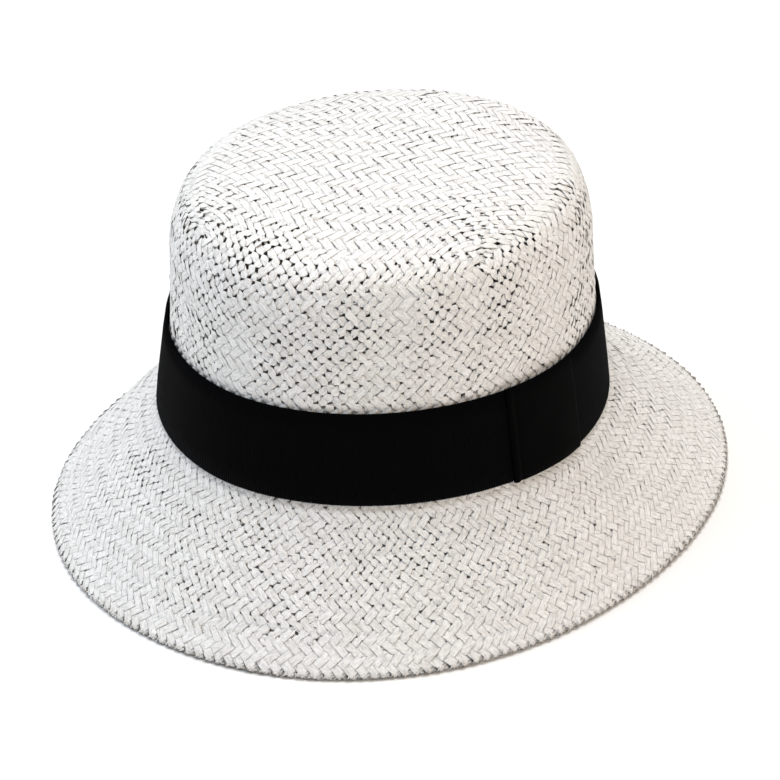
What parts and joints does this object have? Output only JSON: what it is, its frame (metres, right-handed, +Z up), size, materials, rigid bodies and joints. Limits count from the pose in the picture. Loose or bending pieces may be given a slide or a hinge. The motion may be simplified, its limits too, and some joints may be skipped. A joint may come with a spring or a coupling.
{
  "type": "woven raffia bucket hat",
  "caption": "White woven raffia hat with a flat-topped oval crown, a sloping brim with a turned-under rim, and a black ribbon band with a folded tab on the wearer's left.",
  "frame": {"origin": "middle of the rim's oval, on the surface that the rim rests on", "axes": "+Z up through the crown, -Y towards the wearer's front, +X towards the wearer's left"},
  "size_m": [0.2576, 0.3028, 0.1552],
  "materials": {
    "straw": "hand-woven flattened paper raffia, bleached white, satin with fine creases along each strand",
    "ribbon": "black grosgrain ribbon, fine cross ribs, nearly matt",
    "tab": "black close-woven folded cloth, smooth and nearly matt"
  },
  "bodies": {
    "root": {"straw_body": "straw", "ribbon_band": "ribbon", "band_tab": "tab"}
  },
  "joints": []
}
